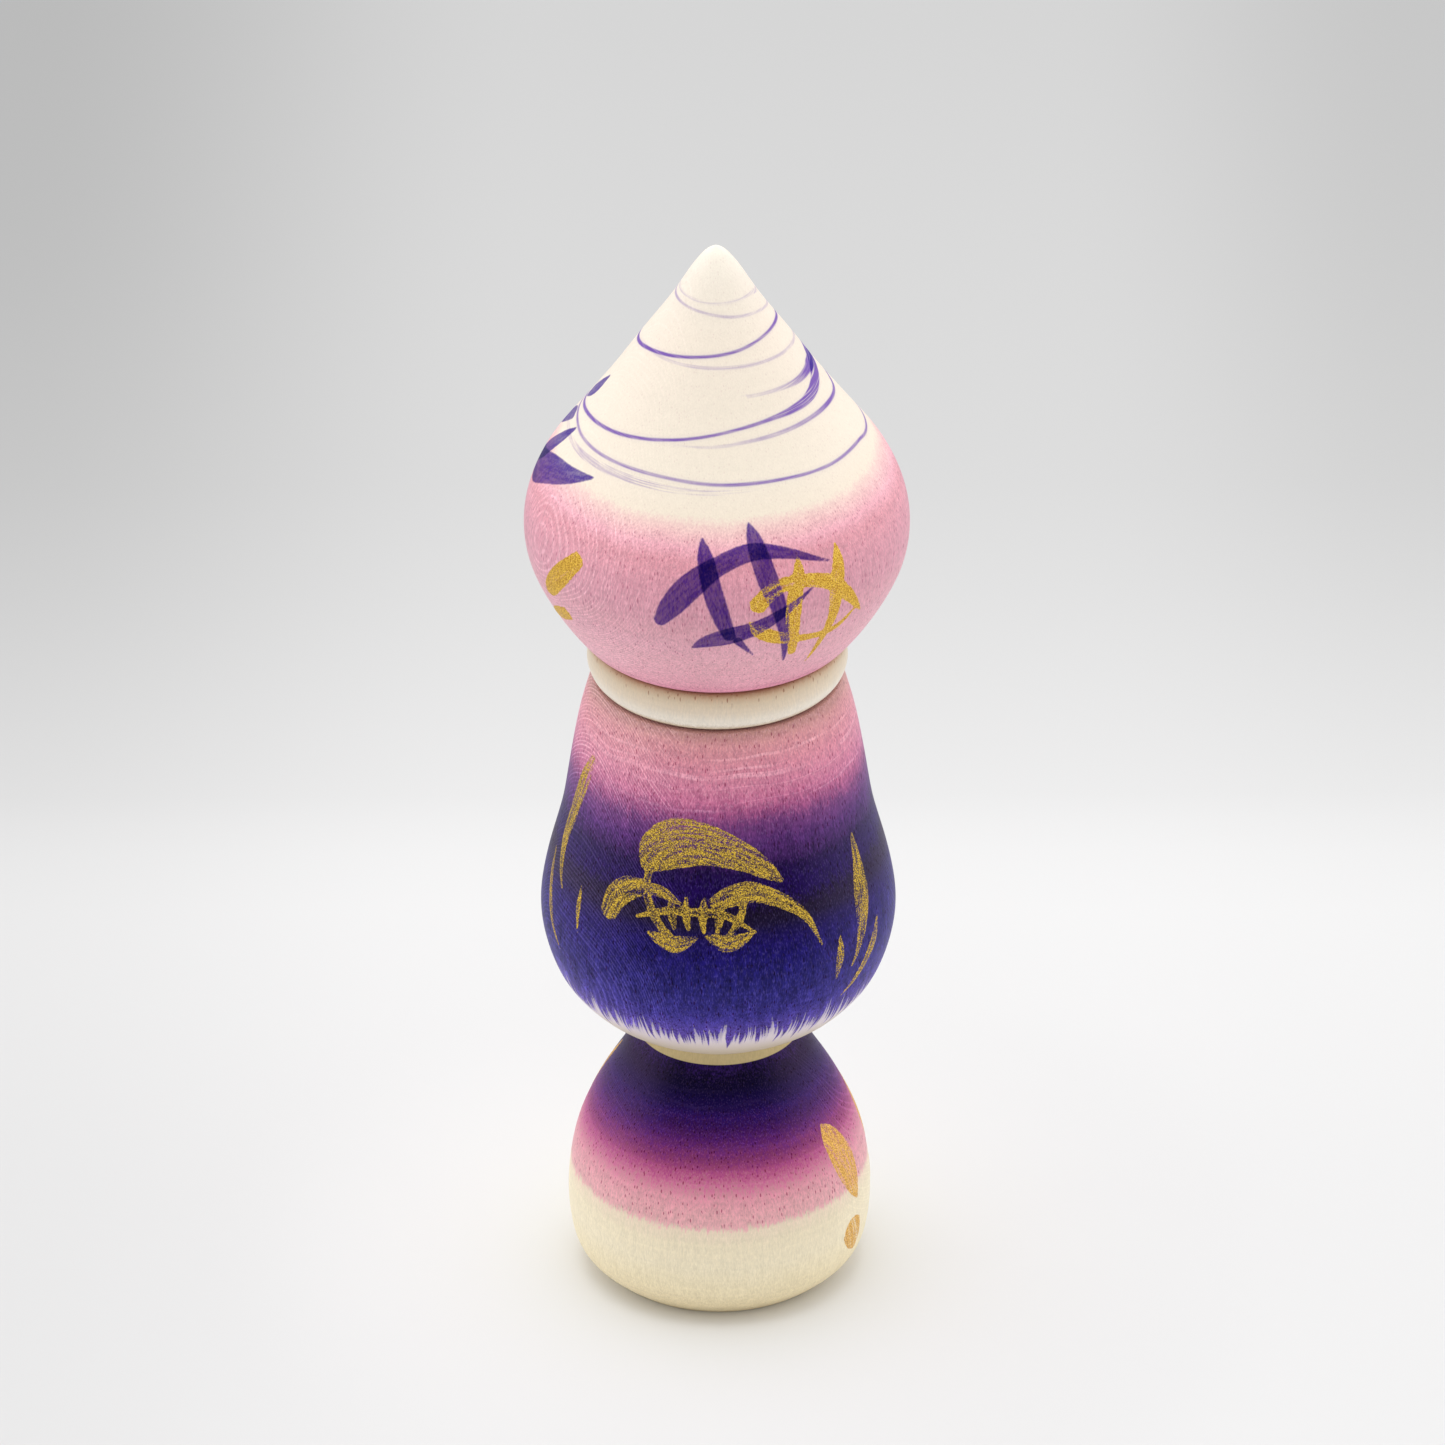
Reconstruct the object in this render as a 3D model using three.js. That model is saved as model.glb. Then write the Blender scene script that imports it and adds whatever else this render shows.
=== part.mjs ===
// A turned wooden kokeshi doll, 150 mm tall, built the way a woodturner builds one: a gourd-shaped
// base, a pear-shaped torso, a loose collar ring and an onion-shaped head, joined by two tenons.
// Millimetres, +Z up, origin at the centre of the foot on the surface that the doll stands on.
// The side that carries the painted motifs faces -Y. Every piece is turned about the Z axis.

import * as THREE from 'three';

// Driving dimensions. Heights are measured from the surface that the foot stands on.
const OVERALL_HEIGHT = 150;
const FOOT_RADIUS = 14.9;
const FOOT_RECESS_RADIUS = 9.5;
const FOOT_RECESS_DEPTH = 0.8;

const WAIST_RADIUS = 10.6;
const WAIST_BOTTOM = 35;
const WAIST_TOP = 37.3;

const NECK_HEIGHT = 88;
const RING_BORE_RADIUS = 7.6;
const RING_HEIGHT = 5.6;

const HEAD_SEAT_RADIUS = 16.2;

const GLUE_LINE = 0.05;
const FACE_GAP = 0.3;
const TURNING_GAP = 0.1;

// Fixed dowel in the waist, glued into blind holes above and below.
const DOWEL_RADIUS = 4;
const DOWEL_DEPTH = 10;

// Neck tenon, glued into the head. Its lower end turns in the torso, held by a bead in a groove.
const TENON_RADIUS = 6;
const TENON_DEPTH_IN_HEAD = 15;
const TENON_DEPTH_IN_TORSO = 12;
const BEAD_RADIUS = 6.6;
const BEAD_HEIGHT = 3;
const BEAD_ABOVE_END = 2.5;

const HOLE_END_ROOM = 1;
const CHAMFER = 0.6;

const OUTER_FACETS = 64;
const STEPS_PER_SPAN = 2;

// The two faces of the collar ring, and the seat of the head above it.
const RING_BOTTOM = NECK_HEIGHT + FACE_GAP;
const RING_TOP = RING_BOTTOM + RING_HEIGHT;
const HEAD_SEAT = RING_TOP + FACE_GAP;

// Outlines of the turned surfaces, as [radius, height] pairs that a smooth curve runs through.
const BASE_SIDE = [
  [FOOT_RADIUS, 0],
  [16.8, 1.6],
  [18.7, 4],
  [19.6, 8.5],
  [19.5, 14],
  [18.3, 20],
  [15.7, 26],
  [12.8, 31],
  [WAIST_RADIUS, WAIST_BOTTOM],
];

const TORSO_SIDE = [
  [11.7, WAIST_TOP + GLUE_LINE],
  [13.6, 38.6],
  [17.1, 41],
  [20.5, 45],
  [22.4, 50],
  [22.9, 55],
  [21.9, 61],
  [20.1, 68],
  [18.8, 76],
  [17.7, 82],
  [16.1, NECK_HEIGHT],
];

const RING_SIDE = [
  [15.6, RING_BOTTOM],
  [16.3, RING_BOTTOM + 0.8],
  [16.7, RING_BOTTOM + 2],
  [16.6, RING_BOTTOM + 3.4],
  [16.6, RING_TOP - 0.6],
  [16.3, RING_TOP],
];

const HEAD_SIDE = [
  [HEAD_SEAT_RADIUS, HEAD_SEAT],
  [17.4, HEAD_SEAT + 0.7],
  [19.5, 97.5],
  [22, 101.5],
  [24, 106],
  [24.6, 110.5],
  [23.8, 115],
  [21.7, 119.5],
  [18.1, 124.5],
  [14.1, 130],
  [10.1, 136],
  [6, 142],
  [3, 147],
  [1.2, OVERALL_HEIGHT - 0.7],
  [0, OVERALL_HEIGHT],
];

// Points along a smooth curve through the given [radius, height] pairs.
function smooth(pairs) {
  const curve = new THREE.SplineCurve(pairs.map(([radius, height]) => new THREE.Vector2(radius, height)));
  return curve.getPoints((pairs.length - 1) * STEPS_PER_SPAN).map((point) => [point.x, point.y]);
}

// A named solid of revolution about Z. The outline is a list of [radius, height] pairs that runs
// up the outside, and it starts and ends on the axis or closes on itself.
function turned(name, outline, { color, roughness }) {
  const points = outline.map(([radius, height]) => new THREE.Vector2(Math.max(radius, 0), height));
  const geometry = new THREE.LatheGeometry(points, OUTER_FACETS);
  geometry.rotateX(Math.PI / 2);
  const mesh = new THREE.Mesh(geometry, new THREE.MeshStandardMaterial({ color, roughness, metalness: 0 }));
  mesh.name = name;
  return mesh;
}

// Blind hole drilled down from the height `mouth`, listed from its rim to the axis.
function holeDown(radius, mouth, depth) {
  return [
    [radius + CHAMFER, mouth],
    [radius, mouth - CHAMFER],
    [radius, mouth - depth],
    [0, mouth - depth],
  ];
}

// Blind hole drilled up from the height `mouth`, listed from the axis to its rim.
function holeUp(radius, mouth, depth) {
  return [
    [0, mouth + depth],
    [radius, mouth + depth],
    [radius, mouth + CHAMFER],
    [radius + CHAMFER, mouth],
  ];
}

// Base: flat foot round a shallow turned recess, swelling side, and a bare neck at the waist.
function makeBase() {
  const foot = [
    [0, FOOT_RECESS_DEPTH],
    [FOOT_RECESS_RADIUS, FOOT_RECESS_DEPTH],
    [FOOT_RECESS_RADIUS + FOOT_RECESS_DEPTH, 0],
  ];
  const waist = [
    [WAIST_RADIUS, WAIST_TOP],
  ];
  const socket = holeDown(DOWEL_RADIUS + GLUE_LINE, WAIST_TOP, DOWEL_DEPTH + HOLE_END_ROOM);
  const outline = [...foot, ...smooth(BASE_SIDE), ...waist, ...socket];
  return turned('base', outline, { color: 0x6a3f86, roughness: 0.45 });
}

// Waist dowel: a plain chamfered pin, half in the base and half in the torso.
function makeWaistDowel() {
  const middle = WAIST_TOP + GLUE_LINE / 2;
  const outline = [
    [0, middle - DOWEL_DEPTH],
    [DOWEL_RADIUS - CHAMFER, middle - DOWEL_DEPTH],
    [DOWEL_RADIUS, middle - DOWEL_DEPTH + CHAMFER],
    [DOWEL_RADIUS, middle + DOWEL_DEPTH - CHAMFER],
    [DOWEL_RADIUS - CHAMFER, middle + DOWEL_DEPTH],
    [0, middle + DOWEL_DEPTH],
  ];
  return turned('waist_dowel', outline, { color: 0xd9c7a0, roughness: 0.7 });
}

// Height of the middle of the retaining bead on the neck tenon.
const BEAD_MIDDLE = NECK_HEIGHT - TENON_DEPTH_IN_TORSO + BEAD_ABOVE_END;

// Outline of the tenon's running end from its lip upwards, swollen by `gap` for the socket.
function beadOutline(gap) {
  return [
    [TENON_RADIUS + gap, BEAD_MIDDLE - BEAD_HEIGHT / 2],
    [BEAD_RADIUS + gap, BEAD_MIDDLE - BEAD_HEIGHT / 6],
    [BEAD_RADIUS + gap, BEAD_MIDDLE + BEAD_HEIGHT / 6],
    [TENON_RADIUS + gap, BEAD_MIDDLE + BEAD_HEIGHT / 2],
  ];
}

// Torso: pear-shaped, with the dowel hole below and the grooved neck socket above.
function makeTorso() {
  const dowelHole = holeUp(
    DOWEL_RADIUS + GLUE_LINE,
    WAIST_TOP + GLUE_LINE,
    DOWEL_DEPTH + HOLE_END_ROOM,
  );
  const mouthRadius = TENON_RADIUS + TURNING_GAP;
  const socketFloor = NECK_HEIGHT - TENON_DEPTH_IN_TORSO - HOLE_END_ROOM;
  const neckSocket = [
    [mouthRadius + CHAMFER, NECK_HEIGHT],
    [mouthRadius, NECK_HEIGHT - CHAMFER],
    ...beadOutline(TURNING_GAP).reverse(),
    [mouthRadius, socketFloor],
    [0, socketFloor],
  ];
  const outline = [...dowelHole, ...smooth(TORSO_SIDE), ...neckSocket];
  return turned('torso', outline, { color: 0x3a2a86, roughness: 0.4 });
}

// Collar ring: loose on the neck tenon, with a rounded lower lip and a nearly straight wall above it.
function makeCollarRing() {
  const bore = [
    [RING_BORE_RADIUS + CHAMFER, RING_TOP],
    [RING_BORE_RADIUS, RING_TOP - CHAMFER],
    [RING_BORE_RADIUS, RING_BOTTOM + CHAMFER],
    [RING_BORE_RADIUS + CHAMFER, RING_BOTTOM],
  ];
  const side = smooth(RING_SIDE);
  const outline = [...side, ...bore, side[0]];
  return turned('collar_ring', outline, { color: 0xe6d8bd, roughness: 0.4 });
}

// Neck tenon: glued into the head, free to turn in the torso, with the bead that keeps it there.
function makeNeckTenon() {
  const bottom = NECK_HEIGHT - TENON_DEPTH_IN_TORSO;
  const top = HEAD_SEAT + TENON_DEPTH_IN_HEAD;
  const outline = [
    [0, bottom],
    [TENON_RADIUS - CHAMFER, bottom],
    [TENON_RADIUS, bottom + CHAMFER],
    ...beadOutline(0),
    [TENON_RADIUS, top - CHAMFER],
    [TENON_RADIUS - CHAMFER, top],
    [0, top],
  ];
  return turned('neck_tenon', outline, { color: 0xd9c7a0, roughness: 0.6 });
}

// Head: onion-shaped with a pointed crown, a flat seat and a blind hole for the tenon.
function makeHead() {
  const socket = holeUp(TENON_RADIUS + GLUE_LINE, HEAD_SEAT, TENON_DEPTH_IN_HEAD + HOLE_END_ROOM);
  const outline = [...socket, ...smooth(HEAD_SIDE)];
  return turned('head', outline, { color: 0xe3b3b4, roughness: 0.45 });
}

const doll = new THREE.Group();
doll.add(
  makeBase(),
  makeWaistDowel(),
  makeTorso(),
  makeCollarRing(),
  makeNeckTenon(),
  makeHead(),
);

export default doll;
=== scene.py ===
"""Looks of a turned wooden kokeshi doll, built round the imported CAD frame.

The CAD nodes give every shape and place. Each turned piece is rebuilt as a fine smooth surface from
its node's own outline, and its dye, ink and gold come from node materials, with the brush strokes
laid out on the surface as distances that the materials read.
"""

import math

import bpy
import numpy as np
from mathutils import Matrix, Vector


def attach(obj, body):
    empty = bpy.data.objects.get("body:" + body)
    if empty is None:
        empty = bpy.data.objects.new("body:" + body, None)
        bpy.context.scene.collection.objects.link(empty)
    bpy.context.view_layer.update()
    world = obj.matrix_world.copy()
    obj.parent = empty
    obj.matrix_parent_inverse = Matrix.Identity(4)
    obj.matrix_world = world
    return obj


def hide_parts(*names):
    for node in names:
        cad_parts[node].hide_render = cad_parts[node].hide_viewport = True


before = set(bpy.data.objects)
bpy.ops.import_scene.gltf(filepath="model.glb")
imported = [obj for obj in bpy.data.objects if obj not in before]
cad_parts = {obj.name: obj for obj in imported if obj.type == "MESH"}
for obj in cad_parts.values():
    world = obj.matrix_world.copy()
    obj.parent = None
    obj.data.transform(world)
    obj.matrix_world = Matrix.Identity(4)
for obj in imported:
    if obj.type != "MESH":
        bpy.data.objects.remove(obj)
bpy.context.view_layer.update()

MM = 0.001

# Camera: a long lens that looks down on the doll from the front.
CAMERA_ELEVATION = math.radians(30.4)
CAMERA_DISTANCE = 2.0
CAMERA_TARGET = Vector((0.00062, 0.0, 0.0802))
CAMERA_ROLL = math.radians(-0.21)
CAMERA_LENS_MM = 388.05


def make_camera():
    """The camera and its small roll, aimed at a point on the doll's axis."""
    back = Vector((0.0, -math.cos(CAMERA_ELEVATION), math.sin(CAMERA_ELEVATION)))
    data = bpy.data.cameras.new("camera")
    data.lens = CAMERA_LENS_MM
    data.clip_start = 0.05
    data.clip_end = 50.0
    camera = bpy.data.objects.new("camera", data)
    bpy.context.scene.collection.objects.link(camera)
    aim = (-back).to_track_quat("-Z", "Y").to_matrix().to_4x4()
    roll = Matrix.Rotation(CAMERA_ROLL, 4, "Z")
    camera.matrix_world = Matrix.Translation(CAMERA_TARGET + back * CAMERA_DISTANCE) @ aim @ roll
    bpy.context.scene.camera = camera


make_camera()


# ---------------------------------------------------------------- turned surfaces

CORNER_ANGLE = math.radians(34)
FILLET = 0.22
FILLET_STEPS = 4
FINE_STEP = 0.26


def meridian(node):
    """The outline of a turned CAD node as [radius, height] rows in mm, anticlockwise."""
    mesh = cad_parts[node].data
    points = [tuple(np.round(np.array(v.co) / MM, 3)) for v in mesh.vertices]
    links = {}
    for polygon in mesh.polygons:
        corners = [points[i] for i in polygon.vertices]
        for a, b in zip(corners, corners[1:] + corners[:1]):
            if a != b and all(abs(p[0]) < 0.01 and p[1] < 0.01 for p in (a, b)):
                links.setdefault(a, set()).add(b)
                links.setdefault(b, set()).add(a)
    ends = sorted((p for p in links if len(links[p]) == 1), key=lambda p: p[2])
    walk = [ends[0] if ends else min(links, key=lambda p: p[2])]
    while True:
        ahead = [p for p in sorted(links[walk[-1]]) if p not in walk]
        if not ahead:
            break
        walk.append(ahead[0])
    outline = np.array([[-p[1], p[2]] for p in walk])
    r, z = outline.T
    area = np.sum(r * np.roll(z, -1) - np.roll(r, -1) * z)
    return (outline if area > 0 else outline[::-1]), not ends


def spline(knots, step):
    """Points about `step` apart on the natural cubic spline through the knots, ends included."""
    gaps = np.hypot(*np.diff(knots, axis=0).T)
    t = np.concatenate([[0], np.cumsum(gaps)])
    n = len(knots)
    matrix = np.eye(n)
    right = np.zeros((n, 2))
    for i in range(1, n - 1):
        matrix[i, i - 1:i + 2] = gaps[i - 1], 2 * (gaps[i - 1] + gaps[i]), gaps[i]
        ahead = (knots[i + 1] - knots[i]) / gaps[i]
        behind = (knots[i] - knots[i - 1]) / gaps[i - 1]
        right[i] = 6 * (ahead - behind)
    bend = np.linalg.solve(matrix, right)
    u = np.linspace(0, t[-1], max(2, int(math.ceil(t[-1] / step)) + 1))
    i = np.clip(np.searchsorted(t, u, side="right") - 1, 0, n - 2)
    h = gaps[i][:, None]
    b = ((u - t[i])[:, None]) / h
    a = 1 - b
    cubic = (a ** 3 - a) * bend[i] + (b ** 3 - b) * bend[i + 1]
    return a * knots[i] + b * knots[i + 1] + cubic * h * h / 6


def fine_outline(node, step=FINE_STEP):
    """The node's outline with smooth runs splined and corners eased, and whether it is a closed loop."""
    outline, closed = meridian(node)
    before = outline - np.roll(outline, 1, axis=0)
    after = np.roll(outline, -1, axis=0) - outline
    cross = before[:, 0] * after[:, 1] - before[:, 1] * after[:, 0]
    turn = np.abs(np.arctan2(cross, np.sum(before * after, axis=1)))
    corner = turn > CORNER_ANGLE
    if closed:
        start = int(np.argmax(corner))
        outline = np.roll(outline, -start, axis=0)
        corner = np.roll(corner, -start)
        outline = np.vstack([outline, outline[:1]])
        corner = np.append(corner, True)
    else:
        corner[0] = corner[-1] = True
    marks = np.flatnonzero(corner)
    runs = []
    for a, b in zip(marks, marks[1:]):
        knots = outline[a:b + 1]
        if len(knots) < 3:
            runs.append(knots)
        elif not closed and b == len(outline) - 1 and knots[-1][0] < 0.01:
            mirrored = knots[-2:-4:-1] * [-1, 1]
            fine = spline(np.vstack([knots, mirrored]), step)
            fine = fine[fine[:, 0] > step / 3]
            runs.append(np.vstack([fine, knots[-1:]]))
        else:
            runs.append(spline(knots, step))
    return ease_corners(runs, closed), closed


def ease_corners(runs, closed):
    """Joins the runs, with a small round where two of them meet."""
    made = []
    for k, run in enumerate(runs):
        first_free = k == 0 and not closed
        last_free = k == len(runs) - 1 and not closed
        length = np.concatenate([[0], np.cumsum(np.hypot(*np.diff(run, axis=0).T))])
        cut = min(FILLET, length[-1] / 3)
        lo = 0 if first_free else cut
        hi = length[-1] if last_free else length[-1] - cut
        keep = (length > lo + 1e-6) & (length < hi - 1e-6)
        ends = [[np.interp(s, length, run[:, 0]), np.interp(s, length, run[:, 1])] for s in (lo, hi)]
        made.append(np.vstack([ends[0], run[keep], ends[1]]))
    joined = [made[0]]
    pairs = list(zip(range(len(made)), range(1, len(made)))) + ([(len(made) - 1, 0)] if closed else [])
    for a, b in pairs:
        p, q, tip = made[a][-1], made[b][0], runs[b][0]
        t = np.linspace(0, 1, FILLET_STEPS + 2)[1:-1, None]
        joined.append((1 - t) ** 2 * p + 2 * t * (1 - t) * tip + t ** 2 * q)
        if b:
            joined.append(made[b])
    return np.vstack(joined)


def columns(fine_half_angle, fine_step, coarse_step):
    """Azimuths in degrees, 0 at the front and rising towards +X, with the front set closer together."""
    front = np.arange(-fine_half_angle, fine_half_angle, fine_step)
    rear = np.arange(fine_half_angle, 360 - fine_half_angle, coarse_step)
    return np.concatenate([front, rear])


def turned_piece(name, node, body, azimuths, step=FINE_STEP):
    """A smooth solid of revolution that stands for a CAD node and rides on its body."""
    outline, closed = fine_outline(node, step)
    phi = np.radians(azimuths)
    across = np.stack([np.sin(phi), -np.cos(phi)], axis=1)
    n = len(phi)
    points, rows = [], []
    for radius, height in outline:
        start = sum(len(p) for p in points)
        if radius < 1e-6:
            points.append(np.array([[0.0, 0.0, height]]))
            rows.append([start] * n)
        else:
            points.append(np.column_stack([across * radius, np.full(n, height)]))
            rows.append(list(range(start, start + n)))
    if closed:
        rows.append(rows[0])
    faces = []
    for low, high in zip(rows, rows[1:]):
        for i in range(n):
            j = (i + 1) % n
            quad = [low[i], low[j], high[j], high[i]]
            faces.append([v for k, v in enumerate(quad) if v != quad[k - 1]])
    mesh = bpy.data.meshes.new(name)
    mesh.from_pydata((np.vstack(points) * MM).tolist(), [], faces)
    mesh.shade_smooth()
    piece = bpy.data.objects.new(name, mesh)
    bpy.context.scene.collection.objects.link(piece)
    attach(piece, body)
    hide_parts(node)
    return piece


COLUMNS = columns(fine_half_angle=100, fine_step=0.8, coarse_step=1.8)
PLAIN_COLUMNS = columns(fine_half_angle=180, fine_step=1.5, coarse_step=1.5)

head = turned_piece("turned_head", "head", "head", COLUMNS, 0.33)
ring = turned_piece("turned_ring", "collar_ring", "collar", PLAIN_COLUMNS, 0.12)
torso = turned_piece("turned_torso", "torso", "body", COLUMNS, 0.28)
base = turned_piece("turned_base", "base", "body", COLUMNS)
tenon = turned_piece("turned_tenon", "neck_tenon", "head", PLAIN_COLUMNS, 0.5)
dowel = turned_piece("turned_dowel", "waist_dowel", "body", PLAIN_COLUMNS, 0.5)


# ---------------------------------------------------------------- brush strokes

# A stroke is a list of (azimuth in degrees, height in mm, width in mm). A blunt stroke starts square.
HEAD_INK_UP = [
    [(-5, 119.6, 0.4), (-3.6, 117.3, 2.1), (-1, 113, 2.5), (1.6, 109.5, 2.2), (3.6, 107, 1.6)],
    [(11.2, 121.1, 0.4), (12.8, 118.8, 2.2), (15.5, 114.6, 2.7), (18.6, 110.5, 2.1), (21, 105.5, 1.3),
     (22.4, 101.2, 0.3)],
    [(6, 106.2, 1.2), (8.5, 104.8, 0.7), (11.5, 103.2, 0.2)],
    [(-105, 126.8, 2.0), (-98, 128.5, 2.4), (-93, 130.8, 0.4)],
    [(-84, 124.6, 0.5), (-89, 122.6, 2.0), (-96, 119.6, 3.0), (-103, 117.2, 2.0)],
    [(150, 122, 0.5), (158, 119.5, 2.6), (168, 117.6, 3.2), (176, 117, 1.2)],
    [(196, 123.5, 0.5), (192, 119.5, 2.8), (187, 115.5, 3.2), (185, 112.6, 1.0)],
]
HEAD_INK_ACROSS = [
    [(-17.5, 108.7, 1.5), (-13.5, 111.3, 3.0), (-8, 114.1, 3.4), (0, 116.5, 2.6), (11, 118.0, 2.3),
     (23.5, 117.2, 1.4), (37, 115.0, 0.2)],
    [(-7.5, 105.0, 0.4), (-3.5, 106.0, 1.9), (3, 106.9, 2.7), (11.5, 108, 2.2), (20.5, 110, 1.3),
     (30, 112.5, 0.2)],
    [(-105, 117.0, 2.6), (-93, 117.8, 4.4), (-80, 119.8, 4.0), (-67, 121.3, 2.5), (-54, 122.8, 0.4)],
    [(-96, 124.2, 0.6), (-102, 123.6, 2.4), (-110, 121.8, 2.6), (-116, 120, 1.0)],
]
HEAD_GOLD = [
    [(26, 116.6, 0.3), (25.4, 114.6, 1.6), (23.4, 111, 2.2), (23.2, 107, 1.9), (24.6, 102.6, 1.1)],
    [(40, 116.8, 0.3), (39.6, 114.4, 1.8), (38, 111.2, 2.2), (37, 107.5, 1.6), (34.5, 103.3, 1.0),
     (32.2, 99.6, 0.2)],
    [(12, 111.3, 2.4), (15.5, 112.7, 2.2), (20.5, 113.6, 1.9), (28, 113.5, 1.8), (35.5, 112.4, 2.0),
     (42, 109.8, 1.8), (48.5, 106.2, 0.4)],
    [(9.8, 108.9, 0.5), (13, 107.3, 1.9), (18, 106.0, 2.1), (25, 105.1, 1.4), (35.5, 104.7, 1.1),
     (41, 105.4, 0.9), (47, 107.4, 0.2)],
    [(-46.5, 113.9, 2.2), (-53.5, 110.6, 3.0), (-60, 107.4, 2.5), (-63, 106.2, 0.8)],
    [(-54, 104.4, 2.0), (-61, 103.0, 2.2), (-69, 101.4, 1.0)],
    [(122, 114, 0.4), (128, 110.5, 2.6), (131, 106.5, 2.2), (131, 103, 0.8)],
    [(214, 113, 0.4), (208, 109, 2.6), (206, 104.5, 1.2)],
]
TORSO_GOLD = [
    [(-26.6, 69.9, 2.6), (-22.5, 71.9, 5.6), (-15, 73.3, 6.8), (-6, 73.4, 5.8), (3, 72.5, 4.6),
     (11, 71.2, 3.5), (18, 69.4, 2.3), (23.4, 67.7, 0.7)],
    [(-40.4, 62.0, 2.6), (-38, 64.4, 3.4), (-32.5, 66.0, 3.0), (-26, 66.5, 1.6), (-20, 66.3, 1.5),
     (-13.5, 65.2, 0.3)],
    [(-26.2, 69.6, 1.0), (-26.6, 66.5, 1.0), (-24.6, 64.4, 1.1), (-20.5, 62.2, 1.1), (-16, 61.0, 0.5)],
    [(-0.4, 65.7, 2.0), (4.5, 66.4, 2.8), (11, 66.8, 2.8), (18, 66.0, 2.3), (26, 64.2, 1.7),
     (32, 61.8, 1.0), (36.2, 57.8, 0.2)],
    [(9, 65.4, 0.9), (7.2, 63.2, 1.0), (3.4, 61.4, 0.5)],
    [(-29, 62.6, 0.4), (-19, 64.0, 1.0), (-6, 64.3, 1.1), (3, 63.9, 1.0), (12.5, 61.6, 0.3)],
    [(-17, 66.0, 0.3), (-16.4, 64.0, 1.2), (-15, 62.0, 0.5)],
    [(-11.5, 66.2, 0.3), (-11.4, 64.2, 1.1), (-10.2, 62.0, 0.5)],
    [(-5, 66.2, 0.3), (-5.4, 64.2, 1.2), (-5, 61.8, 0.5)],
    [(1.4, 66.0, 0.3), (0.6, 64.0, 1.2), (-0.4, 61.7, 0.5)],
    [(-24.4, 61.0, 0.3), (-20.5, 60.4, 1.5), (-15, 59.9, 2.3), (-10.8, 60.4, 1.5), (-7, 61.0, 0.3)],
    [(-4.2, 61.3, 0.3), (-1, 60.8, 1.5), (3.2, 60.3, 2.3), (8, 60.8, 1.5), (12, 61.6, 0.3)],
    [(59.6, 69.6, 0.4), (59.6, 66, 1.8), (57.5, 61.5, 3.1), (54.5, 57.4, 1.9), (51.5, 54.8, 0.9),
     (48.5, 52.8, 0.3)],
    [(64, 57.2, 0.3), (60, 54.3, 1.5), (53, 51, 1.0), (45, 48.4, 0.2)],
    [(43.8, 58, 0.2), (43.2, 55.4, 1.3), (41.4, 52.2, 0.4)],
    [(-61.5, 79.8, 1.2), (-65.5, 76.4, 2.4), (-70.5, 71, 2.2), (-73.5, 67, 2.0), (-71, 63.4, 1.1),
     (-66, 60.8, 0.3)],
    [(-55, 63.2, 0.2), (-54.6, 60.4, 0.8), (-53, 57, 0.2)],
    [(-80, 64, 0.3), (-76, 60, 1.1), (-70, 56, 0.9), (-63, 52.6, 0.2)],
    [(112, 76, 0.4), (117, 70, 2.6), (119, 63, 3.0), (116, 57, 0.5)],
    [(134, 70, 0.4), (137, 64.5, 2.2), (135, 58.5, 0.4)],
    [(166, 73, 0.4), (171, 67.5, 3.0), (173, 60.5, 2.4), (170, 55.5, 0.4)],
    [(205, 69, 0.4), (202, 63, 2.4), (204, 57, 0.4)],
    [(240, 76, 0.4), (237, 70, 2.6), (239, 63.5, 0.4)],
]
BASE_GOLD = [
    [(55, 25, 0.5), (58, 22.8, 3.5), (61.5, 19.4, 4.7), (64, 16, 3.2), (66, 13.4, 0.6)],
    [(62, 9.0, 4.4), (63.4, 7.6, 3.4), (65, 5.8, 0.6)],
    [(104, 25, 0.4), (101, 22.6, 2.6), (98, 19.5, 3.6), (97, 16.6, 0.6)],
    [(95, 13.6, 0.8), (94.5, 11.8, 2.2), (94, 10, 0.4)],
    [(-100, 31, 0.4), (-105, 27, 1.8), (-108, 22, 0.4)],
    [(140, 26, 0.5), (144, 21, 4.0), (147, 16, 1.0)],
    [(176, 22, 0.5), (182, 18.5, 3.0), (188, 15, 0.8)],
    [(222, 26, 0.5), (217, 21.5, 4.2), (213, 17, 1.0)],
]
BLUNT_STARTS = {
    (-17.5, 108.7), (12, 111.3), (-46.5, 113.9), (-54, 104.4), (-40.4, 62.0), (-105, 117.0), (62, 9.0),
}

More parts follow.
